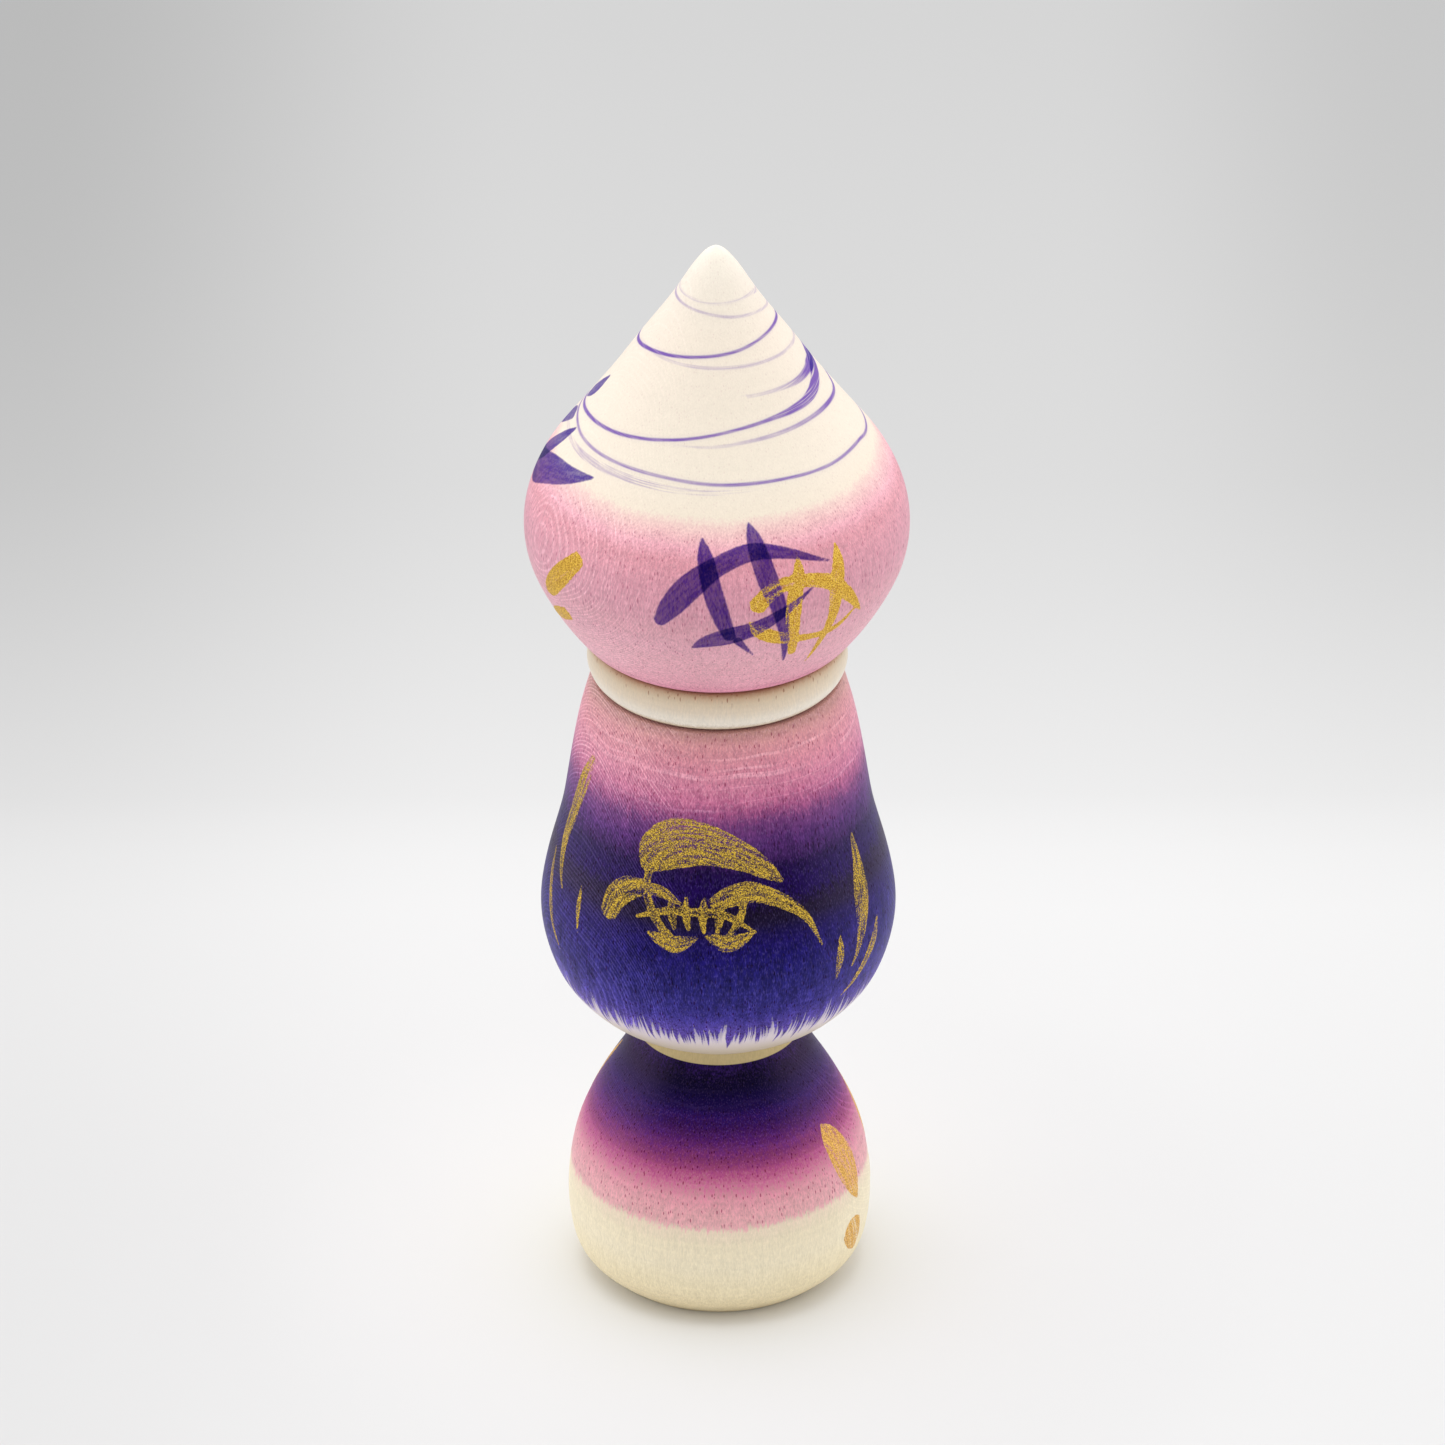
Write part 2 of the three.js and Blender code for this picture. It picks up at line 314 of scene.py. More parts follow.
# Brushed lines that the maker lets run round the spinning head, as (azimuth, height, width, strength).
HEAD_LINES = [
    [(-140, 144.0, 0.3, 0.0), (-110, 143.6, 0.35, 0.45), (-30, 143.2, 0.25, 0.3),
     (25, 142.5, 0.3, 0.35), (70, 141.9, 0.25, 0.25), (115, 140.7, 0.3, 0.4), (160, 139.3, 0.4, 0.8),
     (185, 138.7, 0.4, 0.9), (215, 137.4, 0.4, 0.0)],
    [(-180, 138.9, 0.4, 0.0), (-150, 137.6, 0.45, 0.9), (-112, 136.0, 0.42, 1.0),
     (-60, 137.4, 0.36, 0.9), (-20, 138.3, 0.3, 0.8), (16, 138.9, 0.3, 0.75), (55, 139.6, 0.27, 0.75),
     (90, 139.6, 0.36, 0.85), (130, 138.6, 0.4, 0.6), (180, 137, 0.3, 0.0)],
    [(-110, 137.0, 0.3, 0.0), (-40, 137.3, 0.3, 0.15), (14, 137.3, 0.35, 0.3), (55, 137.0, 0.3, 0.3),
     (95, 136.3, 0.35, 0.25), (140, 134.6, 0.5, 0.6), (185, 133.2, 0.6, 0.9), (240, 131.2, 0.4, 0.0)],
    [(-195, 123.4, 0.4, 0.0), (-165, 124.0, 0.4, 0.8), (-114, 125.3, 0.4, 0.95),
     (-80, 127.0, 0.36, 0.85), (-50, 128.2, 0.34, 0.85), (-20, 129.5, 0.3, 0.85),
     (9, 130.7, 0.3, 0.75), (30, 131.2, 0.4, 0.75), (46, 131.3, 0.75, 0.75), (62, 131.4, 1.1, 0.8),
     (76, 131.9, 1.5, 0.9), (88, 132.6, 1.9, 1.0), (100, 133.2, 2.2, 1.0), (125, 133.4, 1.4, 0.9),
     (160, 133.6, 0.5, 0.0)],
    [(-180, 131.4, 0.4, 0.0), (0, 134.2, 0.5, 0.0), (20, 134.1, 0.3, 0.15), (42, 133.9, 0.4, 0.3),
     (62, 133.6, 0.7, 0.5), (78, 133.5, 1.0, 0.75), (95, 133.2, 1.4, 0.9), (180, 131.4, 0.4, 0.0)],
    [(-180, 127.0, 0.4, 0.6), (-140, 127.4, 0.4, 0.2), (-60, 128.6, 0.3, 0.0), (-6, 129.0, 0.3, 0.12),
     (16, 129.4, 0.35, 0.35), (46, 129.6, 0.4, 0.6), (70, 129.4, 0.45, 0.8), (95, 128.8, 0.4, 0.85),
     (115, 129.0, 0.5, 0.9), (180, 127, 0.4, 0.6)],
    [(-180, 122.8, 0.4, 0.6), (-102, 124.9, 0.35, 0.7), (-73, 125.1, 0.3, 0.6), (-30, 125.5, 0.3, 0.6),
     (0, 125.2, 0.32, 0.7), (25, 125.0, 0.3, 0.75), (50, 124.5, 0.28, 0.75), (75, 124.1, 0.3, 0.75),
     (100, 123.1, 0.3, 0.7), (180, 122.8, 0.4, 0.6)],
    [(-180, 121.0, 0.4, 0.0), (-95, 123.4, 0.5, 0.2), (-65, 124.0, 0.7, 0.3), (-40, 124.4, 0.8, 0.25),
     (-5, 124.4, 0.6, 0.1), (40, 124.2, 0.5, 0.0), (180, 121.0, 0.4, 0.0)],
    [(-180, 144.6, 0.3, 0.1), (-14, 144.2, 0.35, 0.1), (60, 144.2, 0.45, 0.15), (110, 143.4, 0.5, 0.2),
     (180, 144.6, 0.3, 0.1)],
]

SPAN_SAMPLES = 8
FAR = 4.0


def through(points):
    """Catmull-Rom samples through rows of numbers, with even steps in each span."""
    rows = np.array(points, float)
    rows = np.vstack([2 * rows[0] - rows[1], rows, 2 * rows[-1] - rows[-2]])
    t = np.linspace(0, 1, SPAN_SAMPLES, endpoint=False)[:, None]
    made = []
    for p, a, b, q in zip(rows, rows[1:], rows[2:], rows[3:]):
        bend = 2 * p - 5 * a + 4 * b - q
        twist = 3 * a - p - 3 * b + q
        made.append(a + t * (b - p) / 2 + t * t * bend / 2 + t ** 3 * twist / 2)
    return np.vstack(made + [rows[-2:-1]])


def outer_side(node):
    """Heights and radii of a turned node's outside, from the bottom up."""
    outline, _ = fine_outline(node)
    widest = int(np.argmax(outline[:, 0]))
    rows = [outline[widest]]
    for step in (1, -1):
        i = widest
        while 0 <= i + step < len(outline) and step * (outline[i + step][1] - outline[i][1]) > 0:
            i += step
            rows.append(outline[i])
    rows = np.array(sorted(rows, key=lambda p: p[1]))
    return rows[:, 1], rows[:, 0]


def places(piece):
    """The piece's vertices in mm."""
    flat = np.empty(len(piece.data.vertices) * 3)
    piece.data.vertices.foreach_get("co", flat)
    return flat.reshape(-1, 3) / MM


def store(piece, name, values):
    """Keeps one number, or three, for each vertex of the piece."""
    kind, key = ("FLOAT", "value") if values.ndim == 1 else ("FLOAT_VECTOR", "vector")
    attribute = piece.data.attributes.new(name, kind, "POINT")
    attribute.data.foreach_set(key, values.astype(np.float32).ravel())


def lay_strokes(piece, node, layer, strokes):
    """Stores and gives each vertex's distance from the nearest stroke's edge, negative inside.

    Its place across and along that stroke is stored too, under the layer's name and _run.
    """
    heights, radii = outer_side(node)
    points = places(piece)
    distance = np.full(len(points), FAR)
    brush = np.zeros((len(points), 3))
    for number, stroke in enumerate(strokes):
        path = through(stroke)
        angle = np.radians(path[:, 0])
        radius = np.interp(path[:, 1], heights, radii)
        line = np.column_stack([radius * np.sin(angle), -radius * np.cos(angle), path[:, 1]])
        half = np.maximum(path[:, 2], 0.15) / 2
        centre = line.mean(axis=0)
        reach = np.linalg.norm(line - centre, axis=1).max() + FAR
        near = np.flatnonzero(np.linalg.norm(points - centre, axis=1) < reach)
        p = points[near]
        out = centre * [1, 1, 0] / np.linalg.norm(centre[:2])
        run = 0.0
        for a, b, wa, wb in zip(line, line[1:], half, half[1:]):
            ab = b - a
            length = np.linalg.norm(ab)
            t = np.clip((p - a) @ ab / length ** 2, 0, 1)
            gap = p - a - t[:, None] * ab
            d = np.linalg.norm(gap, axis=1) - (wa + t * (wb - wa))
            if run == 0 and tuple(stroke[0][:2]) in BLUNT_STARTS:
                square = -(p - a) @ ab / length - wa * 0.35
                head_of_stroke = t < 1
                d = np.where(head_of_stroke, np.maximum(d, square), d)
            closer = d < distance[near]
            side = gap @ np.cross(out, ab / length)
            rows = np.column_stack([side, run + t * length, np.full(len(p), number * 7.3)])
            distance[near[closer]] = d[closer]
            brush[near[closer]] = rows[closer]
            run += length
    store(piece, layer, distance)
    store(piece, layer + "_run", brush)
    return distance


def lay_lines(piece, lines):
    """Stores, for each line, every vertex's height above it, the line's half width and its strength.

    A line runs at most once round from its own first azimuth, and it is faint or closed at its ends.
    """
    points = places(piece)
    azimuth = np.degrees(np.arctan2(points[:, 0], -points[:, 1]))
    for number, line in enumerate(lines):
        path = through(line)
        along = path[0, 0] + (azimuth - path[0, 0]) % 360
        height, width, strength = (np.interp(along, path[:, 0], path[:, k]) for k in (1, 2, 3))
        above = points[:, 2] - height
        rows = np.column_stack([above, width / 2, np.clip(strength, 0, 1)])
        store(piece, "line_%d" % number, rows)


GOLD_THICKNESS = 0.035


def raise_gold(piece, distance):
    """Lifts the surface under the gold by the thickness of the paint."""
    normals = np.empty(len(distance) * 3)
    piece.data.vertices.foreach_get("normal", normals)
    lift = GOLD_THICKNESS * np.clip(0.5 - distance / 0.3, 0, 1)
    moved = places(piece) + normals.reshape(-1, 3) * lift[:, None]
    piece.data.vertices.foreach_set("co", (moved * MM).ravel())
    piece.data.update()


lay_strokes(head, "head", "ink_up", HEAD_INK_UP)
lay_strokes(head, "head", "ink_across", HEAD_INK_ACROSS)
lay_lines(head, HEAD_LINES)
raise_gold(head, lay_strokes(head, "head", "gold", HEAD_GOLD))
raise_gold(torso, lay_strokes(torso, "torso", "gold", TORSO_GOLD))
raise_gold(base, lay_strokes(base, "base", "gold", BASE_GOLD))


# ---------------------------------------------------------------- node materials

def linear(rgb):
    """Linear colour of an sRGB colour given as 0 to 255."""
    c = np.array(rgb) / 255
    return (*np.where(c <= 0.04045, c / 12.92, ((c + 0.055) / 1.055) ** 2.4).tolist(), 1.0)


class Graph:
    """Short calls that add nodes to one node tree. A value is a number, a tuple or a socket."""

    def __init__(self, tree):
        self.tree = tree

    def put(self, socket, value):
        if isinstance(value, bpy.types.NodeSocket):
            self.tree.links.new(value, socket)
        elif value is not None:
            socket.default_value = value

    def add(self, kind, inputs=(), out=0, **settings):
        """Adds a node, fills its inputs by number or name, and gives one output."""
        node = self.tree.nodes.new("ShaderNode" + kind)
        for key, value in settings.items():
            setattr(node, key, value)
        for key, value in (inputs.items() if isinstance(inputs, dict) else enumerate(inputs)):
            self.put(node.inputs[key], value)
        return node.outputs[out]

    def math(self, operation, *values, clamp=False):
        return self.add("Math", values, operation=operation, use_clamp=clamp)

    def plus(self, value, share, amount):
        """value + (share - 0.5) * amount."""
        return self.math("MULTIPLY_ADD", self.math("SUBTRACT", share, 0.5), amount, value)

    def times(self, *values):
        made = values[0]
        for value in values[1:]:
            made = self.math("MULTIPLY", made, value)
        return made

    def span(self, value, low, high, to_low=0.0, to_high=1.0):
        """A smooth step from to_low at low to to_high at high."""
        return self.add("MapRange", (value, low, high, to_low, to_high), interpolation_type="SMOOTHSTEP")

    def mix(self, share, a, b, blend="MIX"):
        return self.add("Mix", {0: share, 6: a, 7: b}, out=2, data_type="RGBA", blend_type=blend)

    def shade(self, colour, factor):
        """The colour times a number."""
        return self.add("VectorMath", {0: colour, "Scale": factor}, operation="SCALE")

    def stretch(self, place, x, y, z):
        return self.add("VectorMath", (place, (x, y, z)), operation="MULTIPLY")

    def noise(self, place, detail=2.0, roughness=0.5):
        inputs = {"Vector": place, "Scale": 1.0, "Detail": detail, "Roughness": roughness}
        return self.add("TexNoise", inputs)

    def noise_on(self, number, detail=2.0, roughness=0.5):
        """Noise along one number."""
        inputs = {"W": number, "Scale": 1.0, "Detail": detail, "Roughness": roughness}
        return self.add("TexNoise", inputs, noise_dimensions="1D")

    def ramp(self, value, stops):
        """Colours by value; a stop is (value, (r, g, b) as sRGB 0 to 255)."""
        low, high = stops[0][0], stops[-1][0]
        share = self.add("MapRange", (value, low, high, 0.0, 1.0))
        node = self.tree.nodes.new("ShaderNodeValToRGB")
        self.put(node.inputs[0], share)
        elements = node.color_ramp.elements
        elements.remove(elements[1])
        for k, (at, rgb) in enumerate(stops):
            element = elements[0] if k == 0 else elements.new((at - low) / (high - low))
            element.position = (at - low) / (high - low)
            element.color = linear(rgb)
        return node.outputs[0]


GRAIN_OUTPUTS = (
    "Height", "Fibre", "Streaks", "Sheets", "Flecks", "Pores", "Lathe", "Tool marks", "Patches", "Side",
)
# How often each kind of mark repeats, per mm in X, Y and Z. Small Z rates draw it out along the grain.
FIBRE_RATE = (4.9, 4.9, 1.4)
FLECK_RATE = (-6.8, 6.8, 1.6)
STREAK_RATE = (1.7, 1.7, 0.13)
PATCH_RATE = (0.16, 0.16, 0.1)
WARP_RATE = (0.09, 0.09, 0.05)
PORE_RATE = (3.2, 3.2, 0.8)
WANDER_RATE = (0.12, 0.12, 0.2)
TOOL_PATCH_RATE = (0.1, 0.1, 0.3)
SHEET_SPACING = 0.3
SHEET_WARP = 3.0


def make_grain_group():
    """Turned close-grained wood, in mm: fibres run up the piece, and growth sheets face one azimuth."""
    tree = bpy.data.node_groups.new("turned_grain", "ShaderNodeTree")
    tree.interface.new_socket("Sheet azimuth", in_out="INPUT", socket_type="NodeSocketFloat")
    tree.interface.new_socket("Sheet tilt", in_out="INPUT", socket_type="NodeSocketFloat")
    tree.interface.new_socket("Place", in_out="OUTPUT", socket_type="NodeSocketVector")
    for name in GRAIN_OUTPUTS:
        tree.interface.new_socket(name, in_out="OUTPUT", socket_type="NodeSocketFloat")
    g = Graph(tree)
    entry = tree.nodes.new("NodeGroupInput")
    leave = tree.nodes.new("NodeGroupOutput")
    azimuth, tilt = entry.outputs[:2]
    place = g.add("VectorMath", {0: g.add("TexCoord", out="Object"), "Scale": 1 / MM}, operation="SCALE")
    height = g.add("SeparateXYZ", (place,), out=2)
    radius = g.add("VectorMath", (g.stretch(place, 1, 1, 0),), out=1, operation="LENGTH")
    clear_radius = g.math("MAXIMUM", radius, 0.5)
    fibre = g.span(g.noise(g.stretch(place, *FIBRE_RATE), 2.0, 0.65), 0.3, 0.7)
    flecks = g.span(g.noise(g.stretch(place, *FLECK_RATE), 1.0, 0.6), 0.5, 0.74, 0.0, 0.75)
    streaks = g.span(g.noise(g.stretch(place, *STREAK_RATE), 3.0, 0.6), 0.3, 0.7)
    patches = g.noise(g.stretch(place, *PATCH_RATE), 2.0, 0.5)

    facing_y = g.times(g.math("COSINE", azimuth), -1.0)
    facing = g.add("CombineXYZ", (g.math("SINE", azimuth), facing_y, 0.0))
    depth = g.add("VectorMath", (place, facing), out=1, operation="DOT_PRODUCT")
    warp = g.noise(g.stretch(place, *WARP_RATE), 0.0)
    sheet_place = g.plus(g.math("MULTIPLY_ADD", height, tilt, depth), warp, SHEET_WARP)
    wave = g.math("SINE", g.times(sheet_place, 2 * math.pi / SHEET_SPACING))
    uneven = g.noise_on(g.times(sheet_place, 1.3 / SHEET_SPACING), 1.0)
    turned_to = g.math("DIVIDE", depth, clear_radius)
    seen = g.span(g.math("ABSOLUTE", turned_to), 0.5, 0.92)
    broken = g.math("MULTIPLY_ADD", fibre, 1.0, 0.35)
    sheets = g.times(g.math("MULTIPLY_ADD", wave, 0.5, g.plus(0.0, uneven, 1.4)), seen, broken)

    cells = g.stretch(place, *PORE_RATE)
    cell = g.add("TexVoronoi", {"Vector": cells, "Scale": 1.0, "Randomness": 1.0})
    luck = g.add("SeparateXYZ", (cell.node.outputs["Color"],))
    pore_size = g.math("MULTIPLY_ADD", luck, 0.34, -0.04)
    pores = g.span(g.math("SUBTRACT", cell, pore_size), 0.08, -0.07)

    sweep = g.math("MULTIPLY_ADD", radius, 0.8, height)
    lathe = g.noise_on(g.times(sweep, 0.9), 5.0, 0.7)
    wander = g.plus(sweep, g.noise(g.stretch(place, *WANDER_RATE), 1.0), 1.3)
    cuts = g.span(g.noise_on(g.times(wander, 1.5), 2.0, 0.6), 0.52, 0.68)
    cut_here = g.span(g.noise(g.stretch(place, *TOOL_PATCH_RATE), 1.0), 0.42, 0.6)
    tool_marks = g.times(cuts, broken, cut_here)
    # Side: how far round towards ±X a point lies, used only to paint a sheen onto the left and right
    # limbs.
    across = g.math("ABSOLUTE", g.add("SeparateXYZ", (place,)))
    side = g.span(g.math("DIVIDE", across, clear_radius), 0.4, 0.95)
    made = (place, height, fibre, streaks, sheets, flecks, pores, lathe, tool_marks, patches, side)
    for socket, value in zip(leave.inputs, made):
        g.put(socket, value)
    return tree


GRAIN = make_grain_group()
WAX_IOR = 1.12
SHEEN = 0.02
SHEEN_ROUGHNESS = 0.35
GOLD_METAL = 0.55
# Share of the pale colour painted onto the ±X sides as a painted limb sheen.
PAINTED_LIMB_SHEEN = 0.05
TONE_STRENGTHS = {"Fibre": 0.3, "Streaks": 0.16, "Lathe": 0.3, "Patches": 0.15}
FLECK_LIFT = 1.5
PORE_TINT = (188, 122, 158)
BUMP_DISTANCE = 0.03 * MM


class Wood:
    """A material of turned wood, with its grain values and the colour built on them."""

    def __init__(self, name, sheet_azimuth, sheet_tilt=0.0):
        self.material = bpy.data.materials.new(name)
        self.material.use_nodes = True
        self.g = Graph(self.material.node_tree)
        self.shader = self.material.node_tree.nodes["Principled BSDF"]
        group = self.material.node_tree.nodes.new("ShaderNodeGroup")
        group.node_tree = GRAIN
        group.inputs["Sheet azimuth"].default_value = math.radians(sheet_azimuth)
        group.inputs["Sheet tilt"].default_value = sheet_tilt
        self.place = group.outputs["Place"]
        self.grain = {output: group.outputs[output] for output in GRAIN_OUTPUTS}
        self.colour = None
        self.gold = None
        self.wet = 0.0

    def dye(self, stops, feather, streak_feather, patch_feather, shift=0.0):
        """Colour by height, where fibres and patches carry the dye up or down."""
        g, grain = self.g, self.grain
        height = g.plus(g.math("ADD", grain["Height"], shift), grain["Fibre"], feather)
        height = g.plus(height, grain["Streaks"], streak_feather)
        height = g.plus(height, grain["Patches"], patch_feather)
        self.colour = g.ramp(height, stops)

    def weather(self, depth, pores, pale, paleness, ridges=1.3, marks=0.3, haze=0.07):
        """Darkens and lightens the colour with the grain, which `depth` makes stronger, and paints a
        light sheen onto the sides towards ±X.

        Light flecks are the colour lifted, with a share `haze` of the pale colour, and `paleness`,
        `ridges` and `marks` say how much of them flecks, growth sheets and tool marks take.
        """
        g, grain = self.g, self.grain
        tone = 1.0
        for output, strength in TONE_STRENGTHS.items():
            tone = g.plus(tone, grain[output], g.times(depth, strength))
        self.colour = g.shade(self.colour, tone)
        lit = g.mix(haze, g.shade(self.colour, FLECK_LIFT), pale)
        ridge = g.math("MULTIPLY_ADD", grain["Sheets"], ridges, -0.1)
        share = g.math("MAXIMUM", grain["Flecks"], ridge)
        share = g.math("MAXIMUM", share, g.times(grain["Tool marks"], marks))
        share = g.math("MULTIPLY", share, g.times(depth, paleness), clamp=True)
        self.colour = g.mix(share, self.colour, lit)
        # Painted limb sheen: the pale colour is mixed in on the sides towards ±X, the left and right
        # limbs as the camera sees them.
        self.colour = g.mix(g.times(grain["Side"], PAINTED_LIMB_SHEEN), self.colour, pale)
        speck = g.mix(1.0, self.colour, linear(PORE_TINT), "MULTIPLY")
        dark = g.math("MULTIPLY", grain["Pores"], g.times(depth, pores), clamp=True)
        self.colour = g.mix(dark, self.colour, speck)

    def layer(self, name, wobble, soft):
        """1 inside the strokes of a layer and 0 outside, with a slightly ragged edge."""
        g = self.g
        distance = g.add("Attribute", out="Fac", attribute_name=name)
        ragged = g.noise(g.stretch(self.place, 2.6, 2.6, 1.6), 2.0)
        return g.span(g.plus(distance, ragged, wobble), soft, -soft)

    def run(self, name):
        """Place across and along the strokes of a layer, for noise that makes bristle marks."""
        return self.g.add("Attribute", out="Vector", attribute_name=name + "_run")

    def ink(self, name, rgb):
        """Translucent ink that the wood shows through, darker where two strokes cross."""
        g = self.g
        mask = self.layer(name, 0.2, 0.13)
        bristle = g.noise(g.stretch(self.run(name), 2.4, 0.3, 1.0), 2.0)
        flow = g.plus(0.92, bristle, 0.36)
        flow = g.plus(flow, self.grain["Fibre"], 0.16)
        flow = g.plus(flow, self.grain["Patches"], 0.3)
        stained = g.mix(1.0, self.colour, linear(rgb), "MULTIPLY")
        self.colour = g.mix(g.math("MULTIPLY", mask, flow, clamp=True), self.colour, stained)
        self.wet = g.math("MAXIMUM", self.wet, mask)

    def gild(self, bright, dark, cover, speckle):
        """Gold paint: fine bright grains with gaps that the wood shows through."""
        g = self.g
        mask = self.layer("gold", 0.3, 0.05)
        grains = g.noise(g.stretch(self.place, 5.2, 5.2, 5.2), 2.0, 0.7)
        bristle = g.noise(g.stretch(self.run("gold"), 2.2, 0.22, 1.0), 2.0)
        thick = g.plus(g.plus(cover, grains, speckle), bristle, speckle * 0.8)
        thick = g.math("MULTIPLY_ADD", self.wet, -0.3, thick)
        shown = g.times(mask, g.span(thick, 0.3, 0.62))
        glitter = g.span(g.noise(g.stretch(self.place, -6.5, 6.5, 6.5), 1.0), 0.36, 0.66)
        paint = g.mix(glitter, linear(dark), linear(bright))
        self.colour = g.mix(shown, self.colour, paint)
        self.gold = shown

    def finish(self, roughness, bump):
        """Joins everything to the shader."""
        g, grain = self.g, self.grain
        s = self.shader.inputs
        rough = g.plus(roughness, grain["Fibre"], 0.08)
        rough = g.math("MULTIPLY_ADD", grain["Pores"], 0.15, rough)
        relief = g.plus(0.0, grain["Fibre"], 0.5)
        relief = g.plus(relief, grain["Lathe"], 0.6)
        relief = g.math("MULTIPLY_ADD", grain["Sheets"], 0.15, relief)
        relief = g.math("MULTIPLY_ADD", grain["Pores"], -1.0, relief)
        if self.gold:
            rough = g.math("MULTIPLY_ADD", self.gold, 0.08, rough)
            grit = g.noise(g.stretch(self.place, 5.0, 5.0, 5.0), 1.0)
            relief = g.math("MULTIPLY_ADD", self.gold, g.plus(0.6, grit, 1.5), relief)
            g.put(s["Metallic"], g.times(self.gold, GOLD_METAL))
        normal = g.add("Bump", {"Strength": bump, "Distance": BUMP_DISTANCE, "Height": relief})
        g.put(s["Normal"], normal)
        g.put(s["Base Color"], self.colour)
        g.put(s["Roughness"], rough)
        s["IOR"].default_value = WAX_IOR
        s["Sheen Weight"].default_value = SHEEN
        s["Sheen Roughness"].default_value = SHEEN_ROUGHNESS
        s["Sheen Tint"].default_value = (1, 1, 1, 1)
        return self.material


CREAM = (242, 231, 214)
INK = (90, 70, 176)
LINE_INK = (134, 106, 210)

HEAD_DYE = [
    (94.3, (216, 142, 168)), (95.2, (228, 152, 176)), (96.5, (234, 169, 186)), (98.5, (236, 176, 190)),
    (101.5, (235, 178, 190)), (104.5, (231, 174, 188)), (107, (226, 168, 181)), (110, (220, 159, 175)),
    (113.5, (220, 155, 171)), (116.8, (228, 158, 171)), (118.4, (237, 174, 187)),
    (119.8, (241, 192, 194)), (120.9, (243, 209, 202)), (121.9, (242, 229, 211)), (125, CREAM),
    (140, (242, 230, 214)), (150, (246, 238, 224)),
]


def head_material():
    w = Wood("dyed_head_wood", sheet_azimuth=-65, sheet_tilt=0.25)
    g = w.g
    w.dye(HEAD_DYE, feather=0.4, streak_feather=0.3, patch_feather=1.3)
    height = w.grain["Height"]
    depth = g.span(height, 122, 119, 0.15, 0.8)
    marks = g.span(height, 104, 97)
    pale = linear((250, 222, 226))
    w.weather(depth, pores=0.7, pale=pale, paleness=0.6, ridges=2.2, marks=marks, haze=0.4)
    hair = g.noise(g.stretch(w.place, 0.12, 0.12, 6.0), 2.0, 0.6)
    blotch = g.noise(g.stretch(w.place, 0.5, 0.5, 0.9), 2.0)
    for number in range(len(HEAD_LINES)):
        stored = g.add("Attribute", out="Vector", attribute_name="line_%d" % number)
        line = g.add("SeparateXYZ", (stored,))
        half, strength = line.node.outputs[1], line.node.outputs[2]
        edge = g.math("SUBTRACT", g.math("ABSOLUTE", line), half)
        flow = g.plus(strength, hair, g.math("MULTIPLY_ADD", half, 3.4, 0.2))
        flow = g.times(g.plus(flow, blotch, 0.3), g.span(strength, 0.0, 0.1))
        halo = g.times(g.span(edge, 0.55, 0.0), 0.09)
        core = g.math("ADD", g.span(edge, 0.12, -0.08), halo)
        stained = g.mix(1.0, w.colour, linear(LINE_INK), "MULTIPLY")
        share = g.math("MULTIPLY", core, g.math("MAXIMUM", flow, 0.0), clamp=True)
        w.colour = g.mix(share, w.colour, stained)
    w.ink("ink_across", INK)
    w.ink("ink_up", INK)
    w.gild((248, 210, 90), (190, 136, 50), cover=0.7, speckle=0.95)
    return w.finish(roughness=0.42, bump=0.35)


# Torso colour by height: dye bands, with the top stop at 88 mm turned browner and darker as a painted
# shadow under the ring.
TORSO_DYE_AND_RING_SHADOW = [
    (37.3, (120, 96, 170)), (43.6, (104, 82, 170)), (45.5, (94, 74, 164)), (47, (84, 68, 156)),
    (49.3, (60, 51, 136)), (51.4, (50, 44, 122)), (54, (40, 36, 110)), (56.8, (31, 25, 100)),
    (58.6, (24, 16, 92)), (60.6, (26, 14, 84)), (62.3, (26, 16, 54)), (63.4, (22, 12, 36)),
    (64.6, (24, 10, 48)), (66, (24, 2, 70)), (68, (27, 4, 72)), (69.6, (30, 8, 64)),
    (71, (58, 28, 84)), (73.2, (84, 44, 108)), (75.6, (114, 60, 120)), (77.5, (165, 86, 134)),
    (79, (198, 112, 150)), (81, (212, 131, 160)), (83.5, (221, 143, 162)), (86, (221, 152, 160)),
    (88, (198, 146, 140)),
]
BARE_STRIP = [(37.3, (206, 186, 152)), (41.5, (216, 202, 182)), (44.5, (232, 221, 226))]
BARE_STRIP_TOP = 42.6
# Rows of spikes, as (spikes per mm, shortest in mm, tallest in mm, offset that sets the row apart).
SPIKE_ROWS = ((0.9, 2.0, 6.4, 3.6), (1.5, 1.6, 6.0, 41.7), (2.4, 1.4, 5.2, 87.2))
TORSO_RADIUS = 20.0


def spikes(w, cells, shortest, tallest, offset):
    """Share of bare wood in one row of pointed marks that rise from the bare strip."""
    g = w.g
    x = g.add("SeparateXYZ", (w.place,))
    azimuth = g.math("ARCTAN2", x, g.times(x.node.outputs[1], -1.0))
    around = g.times(azimuth, TORSO_RADIUS * cells)
    lean = g.plus(0.0, g.noise(g.stretch(w.place, 0.25, 0.25, 0.0), 1.0), 0.5 * cells)
    rise = g.math("SUBTRACT", w.grain["Height"], BARE_STRIP_TOP)
    inputs = {"W": g.math("ADD", g.math("MULTIPLY_ADD", rise, lean, around), offset), "Scale": 1.0}
    cell = g.add("TexVoronoi", inputs, voronoi_dimensions="1D")
    luck = g.add("SeparateXYZ", (cell.node.outputs["Color"],), out=1)
    length = g.math("MULTIPLY_ADD", luck, tallest - shortest, shortest)
    reach = g.math("DIVIDE", rise, length)
    ragged = g.plus(g.math("MULTIPLY_ADD", cell, 1.9, reach), w.grain["Fibre"], 0.2)
    return g.times(g.span(ragged, 1.12, 0.9), g.span(reach, 1.0, 0.1, 0.45, 1.0))


